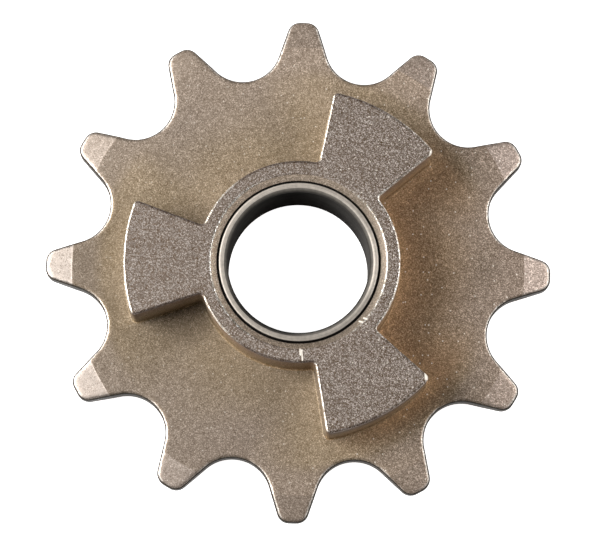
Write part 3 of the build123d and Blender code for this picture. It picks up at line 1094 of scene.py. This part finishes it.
# The flecks are painted glints.
def flecks(graph, place, spacing, size, share):
    """Small bright spots strewn at random: a share of the cells of a Voronoi pattern holds one."""
    scale = 1.0 / spacing
    cells = graph.node("ShaderNodeTexVoronoi", {"Vector": place, "Scale": scale}, voronoi_dimensions="2D")
    chosen = graph.calc("LESS_THAN", graph.split(cells.outputs["Color"])[1], share)
    reach = 0.5 * size / spacing
    spot = graph.smooth(cells.outputs["Distance"], 1.4 * reach, 0.6 * reach)
    return graph.times(chosen, spot)


apart = FLECK_SPACING / sqrt(FLECK_SHARE)
print(f"flecks lie about {apart / MM:.1f} mm apart and are {FLECK_SIZE / MM:.2f} mm wide")

# %% Scratches
# Each scratch of the top: its start, its end and its width in mm.
SCRATCHES = [
    ((0.33, -9.05), (0.37, -9.66), 0.13),
    ((0.50, -9.15), (0.60, -10.2), 0.13),
    ((5.88, -5.96), (5.92, -6.02), 0.2),
    ((6.35, -6.02), (6.65, -6.14), 0.18),
    ((6.80, -5.69), (7.10, -5.82), 0.18),
    ((13.27, -11.30), (13.33, -11.80), 0.34),
    ((13.38, 11.75), (13.28, 11.35), 0.2),
]


def stroke(graph, place, start, end, width):
    """A scratch as a mask seen from above: 1 on a short straight line, 0 beside it."""
    x, y, z = graph.split(place)
    way = (Vector(end) - Vector(start)) * MM
    from_x = graph.minus(x, start[0] * MM)
    from_y = graph.minus(y, start[1] * MM)
    along = graph.calc("MULTIPLY_ADD", from_x, way.x, graph.times(from_y, way.y))
    share = graph.node("ShaderNodeClamp", {0: graph.over(along, way.length_squared)}).outputs[0]
    off_x = graph.calc("MULTIPLY_ADD", share, -way.x, from_x)
    off_y = graph.calc("MULTIPLY_ADD", share, -way.y, from_y)
    away = graph.from_axis(graph.combine(off_x, off_y, 0.0))
    return graph.smooth(away, 0.75 * width * MM, 0.25 * width * MM)


def glint_and_scratch_marks(graph, face):
    """A mask of flecks on flat faces, painted glints more to the right, and of the scratches on the top."""
    glints_and_scratches = flecks(graph, face["place"], FLECK_SPACING, FLECK_SIZE, FLECK_SHARE)
    glints_and_scratches = graph.times(glints_and_scratches, graph.calc("MULTIPLY_ADD", face["to_right"], 0.7, 0.3), face["flat"])
    high = graph.smooth(face["height"], TOP - 0.6 * MM, TOP - 0.5 * MM)
    for start, end, width in SCRATCHES:
        scratch = graph.times(stroke(graph, face["place"], start, end, width), high)
        glints_and_scratches = graph.calc("MAXIMUM", glints_and_scratches, scratch)
    return glints_and_scratches


print(len(SCRATCHES), "scratches on the top")

# %% [markdown]
# ## The layers together
#
# Everything is laid over the plate's colour in turn, each layer where its mask is 1: tips, walls, the
# painted highlight on the rim of the teeth and the flanks below it, dark partly as painted shade,
# the chamfer, the top, then the edges, and the groove round the bush, painted dark as shade. Grain,
# glints and scratches come last, since they lie on all of it. Walls, flanks and the groove round the
# bush are dull with oil, so they are hardly metallic there.

# %% Sintered steel
TOP_DARK = (0.278, 0.227, 0.192, 1.0)
TOP_PALE = (0.307, 0.261, 0.226, 1.0)
RIM_HIGHLIGHT = (0.62, 0.56, 0.5, 1.0)
FLANK_DARK_AND_SHADE = (0.035, 0.028, 0.021, 1.0)
EDGE_SHADE = (0.15, 0.118, 0.098, 1.0)
EDGE_WORN_HIGHLIGHT = (0.65, 0.59, 0.52, 1.0)
GROOVE_SHADE = (0.015, 0.013, 0.011, 1.0)
GLINT_AND_SCRATCH_BRIGHT = (0.9, 0.83, 0.73, 1.0)


def finish_sintered_steel(material):
    """Lays the colours of the faces over each other, then the edges, the grain, and the painted glints and
    scratches.
    """
    graph = Graph(material.node_tree)
    face = faces_of(graph)
    mottle = graph.noise(face["place"], 1.6 * MM, 3.0, 0.6)
    patch = graph.noise(face["place"], 0.5 * MM, 2.0, 0.6)
    colour, right_shadow = plate_colour(graph, face)
    tip, worn_and_lit = tip_colour(graph, face, mottle)
    chamfer, chamfer_metal = chamfer_colour(graph, face)
    worn, shaded_edges = worn_edges(graph, face, patch)
    to_sides = graph.smooth(graph.calc("ABSOLUTE", face["facing"]), 0.4, 0.8)
    layers = [
        (worn_and_lit, tip),
        (face["wall"], wall_colour(graph, face)),
        # Painted highlight on the rim edges of the teeth that face left and right.
        (graph.times(face["rim_edge"], to_sides), RIM_HIGHLIGHT),
        # Tooth flanks: dark steel, partly as painted shade.
        (face["flank"], FLANK_DARK_AND_SHADE),
        (face["bore"], chamfer),
        (face["top"], graph.blend(mottle, TOP_DARK, TOP_PALE)),
        # Painted shade on the other raised edges, then wear with painted highlight on those facing left and
        # right.
        (shaded_edges, EDGE_SHADE),
        (worn, EDGE_WORN_HIGHLIGHT),
        # Painted shade in the groove round the bush.
        (face["groove"], GROOVE_SHADE),
    ]
    for mask, layer in layers:
        colour = graph.blend(mask, colour, layer)
    colour, normal = grained(graph, face, colour, right_shadow, worn_and_lit, patch)
    glints_and_scratches = glint_and_scratch_marks(graph, face)
    # Painted glints and real scratches.
    colour = graph.blend(glints_and_scratches, colour, GLINT_AND_SCRATCH_BRIGHT)
    dull = graph.calc("MAXIMUM", graph.calc("MAXIMUM", face["wall"], face["flank"]), face["groove"])
    metallic = graph.between(dull, graph.between(face["bore"], 0.9, chamfer_metal), 0.08)
    rough = graph.between(worn, graph.between(worn_and_lit, 0.5, 0.45), 0.28)
    shader = material.node_tree.nodes["Principled BSDF"]
    shader.inputs["Specular IOR Level"].default_value = 0.03
    graph.feed(shader.inputs["Metallic"], graph.between(glints_and_scratches, metallic, 0.25))
    graph.feed(shader.inputs["Base Color"], colour)
    graph.feed(shader.inputs["Roughness"], rough)
    graph.feed(shader.inputs["Normal"], normal)


finish_sintered_steel(sintered_steel)
print("sintered steel has", len(sintered_steel.node_tree.nodes), "nodes")

# %% [markdown]
# ## The finish of the bush
#
# The bush's rim is bare turned steel with rings from the lathe tool, with painted highlight to the upper
# left and a painted glint at the right. Its running face is painted dark as the shade inside the bore,
# and lighter to the right as painted light. Between them lies a chamfered lip, bare steel that is darker
# at the lower left and towards the bore. The rings could be modelled, but they are far thinner than the
# rim. They depend only on the distance to the axis, so one-dimensional noise of that distance draws them
# and lifts them a little with a bump.

# %% Rim and lip of the bush
BARE_DARK = (0.5, 0.445, 0.382, 1.0)
BARE_PALE = (0.9, 0.81, 0.712, 1.0)
LIP_STEEL = (0.17, 0.155, 0.136, 1.0)
LIP_DARK = (0.06, 0.055, 0.05, 1.0)
BUSH_BORE = BORE_RADIUS - BUSH_WALL


def bush_rim(graph, angle, rings, smudge):
    """Bare steel with tool rings, with painted highlight to the upper left and a painted glint at the right.
    """
    bare = graph.blend(rings, BARE_DARK, BARE_PALE)
    # A painted glint at the right and painted highlight towards the upper left.
    glint = graph.times(graph.smooth(towards(graph, angle, 0), 0.85, 1.0), 0.4)
    share = graph.calc("MULTIPLY_ADD", towards(graph, angle, 140), 0.15, 0.97)
    bare = scaled(graph, bare, graph.plus(share, glint))
    return scaled(graph, bare, graph.calc("MULTIPLY_ADD", smudge, 0.7, 0.65))


def bush_lip(graph, angle, radius, smudge):
    """The chamfer inside the rim: darker at the lower left, brighter at the left, and dark towards the bore.
    """
    # Darker towards the lower left.
    toward_lower_left = graph.smooth(towards(graph, angle, 238), 0.75, 0.95)
    lip = graph.blend(toward_lower_left, LIP_STEEL, LIP_DARK)
    lip = toned(graph, lip, graph.smooth(towards(graph, angle, 170), 0.8, 1.0), 1.4)
    outwards = graph.smooth(radius, BUSH_BORE - 0.1 * MM, BUSH_BORE + 0.45 * MM)
    return scaled(graph, lip, graph.times(outwards, graph.calc("MULTIPLY_ADD", smudge, 1.0, 0.5)))


print(f"the bush has a bore of {2 * BUSH_BORE / MM:.1f} mm")

# %% Turned steel
# The running face is painted dark, as the shade inside the bore.
BORE_SHADE_DARK = (0.034, 0.032, 0.03, 1.0)
BORE_SHADE_PALE = (0.075, 0.07, 0.065, 1.0)
JOINT_SHADE = (0.012, 0.011, 0.01, 1.0)
RING_WIDTH = 0.08 * MM


def finish_bush_steel(material):
    """A running face painted dark as shade, then the lip, the rim, and painted shade where the bush leaves
    the bore.
    """
    graph = Graph(material.node_tree)
    place = graph.node("ShaderNodeTexCoord").outputs["Object"]
    x, y, z = graph.split(place)
    angle = graph.calc("ARCTAN2", y, x)
    radius = graph.from_axis(place)
    ring_inputs = {"W": radius, "Scale": 1.0 / RING_WIDTH, "Detail": 2.0}
    rings = graph.node("ShaderNodeTexNoise", ring_inputs, noise_dimensions="1D").outputs[0]
    cloud = graph.noise(place, 1.5 * MM, 3.0, 0.6)
    smudge = graph.noise(place, 0.4 * MM, 3.0, 0.65)
    rim = graph.smooth(radius, BUSH_BORE + 0.36 * MM, BUSH_BORE + 0.44 * MM)
    mouth = graph.smooth(radius, BUSH_BORE + 0.01 * MM, BUSH_BORE + 0.05 * MM)
    # Painted shade in the joint where the bush leaves the bore.
    joint = graph.smooth(radius, BORE_RADIUS - 0.25 * MM, BORE_RADIUS - 0.19 * MM)
    colour = graph.blend(cloud, BORE_SHADE_DARK, BORE_SHADE_PALE)
    # Painted light on the right of the running face.
    colour = toned(graph, colour, graph.smooth(towards(graph, angle, 0), 0.8, 1.0), 1.4)
    colour = graph.blend(mouth, colour, bush_lip(graph, angle, radius, smudge))
    colour = graph.blend(rim, colour, bush_rim(graph, angle, rings, smudge))
    colour = graph.blend(joint, colour, JOINT_SHADE)
    bright = graph.times(rim, graph.minus(1.0, joint))
    bump = graph.node("ShaderNodeBump", {"Strength": 0.5, "Distance": 0.01 * MM, "Height": rings})
    shader = material.node_tree.nodes["Principled BSDF"]
    shader.inputs["Specular IOR Level"].default_value = 0.0
    graph.feed(shader.inputs["Metallic"], graph.times(bright, 0.95))
    graph.feed(shader.inputs["Base Color"], colour)
    graph.feed(shader.inputs["Roughness"], graph.between(bright, 0.6, 0.4))
    graph.feed(shader.inputs["Normal"], bump.outputs[0])


finish_bush_steel(bush_steel)
print("bush steel has", len(bush_steel.node_tree.nodes), "nodes")

# %% [markdown]
# ## Floor and light
#
# The part lies on a white table under soft light from the left. A white floor under a plain amount of
# light would come out light grey, and stronger lamps would bleach the steel with it. So the floor shows
# a white glow to the camera and to shiny surfaces, mixed with ordinary paint that still takes the
# part's shadow.

# %% Floor
FLOOR_HALF = 1.5
floor_mesh = bpy.data.meshes.new("floor")
floor_corners = [(-FLOOR_HALF, -FLOOR_HALF, 0.0), (FLOOR_HALF, -FLOOR_HALF, 0.0)]
floor_corners += [(FLOOR_HALF, FLOOR_HALF, 0.0), (-FLOOR_HALF, FLOOR_HALF, 0.0)]
floor_mesh.from_pydata(floor_corners, [], [(0, 1, 2, 3)])
floor = bpy.data.objects.new("floor", floor_mesh)
bpy.context.scene.collection.objects.link(floor)

white_table = bpy.data.materials.new("white_table")
white_table.use_nodes = True
white_table.node_tree.nodes.clear()
graph = Graph(white_table.node_tree)
rays = graph.node("ShaderNodeLightPath").outputs
seen = graph.calc("MAXIMUM", rays["Is Camera Ray"], rays["Is Glossy Ray"])
seen = graph.calc("MAXIMUM", seen, rays["Is Transmission Ray"])
paint = graph.node("ShaderNodeBsdfDiffuse", {"Color": (0.8, 0.8, 0.8, 1.0)})
glow = graph.node("ShaderNodeEmission", {"Color": (1.0, 1.0, 1.0, 1.0), "Strength": seen})
both = graph.node("ShaderNodeAddShader", {0: paint.outputs[0], 1: glow.outputs[0]})
graph.node("ShaderNodeOutputMaterial", {"Surface": both.outputs[0]})
floor_mesh.materials.append(white_table)
print(f"the floor is {2 * FLOOR_HALF:.0f} m across")

# %% Lamps and sky
LAMP_SIZE = 0.3
SKY_STRENGTH = 0.06


def soft_lamp(name, place, power):
    """A square soft white lamp that faces the part, at a place in metres and with a power in watts."""
    data = bpy.data.lights.new(name, "AREA")
    data.shape = "SQUARE"
    data.size = LAMP_SIZE
    data.energy = power
    lamp = bpy.data.objects.new(name, data)
    lamp.location = place
    lamp.rotation_euler = Vector(place).to_track_quat("Z", "Y").to_euler()
    bpy.context.scene.collection.objects.link(lamp)
    print(f"{name}: {power} W")


soft_lamp("left_lamp", (-0.369, 0.039, 0.34), 4.6)
soft_lamp("right_lamp", (0.375, 0.066, 0.34), 1.4)
world = bpy.data.worlds.new("studio")
bpy.context.scene.world = world
world.use_nodes = True
sky = world.node_tree.nodes["Background"]
sky.inputs["Color"].default_value = (1.0, 1.0, 1.0, 1.0)
sky.inputs["Strength"].default_value = SKY_STRENGTH
bpy.context.scene.view_settings.view_transform = "Standard"

# %% [markdown]
# Dressing a part must not make it grow.
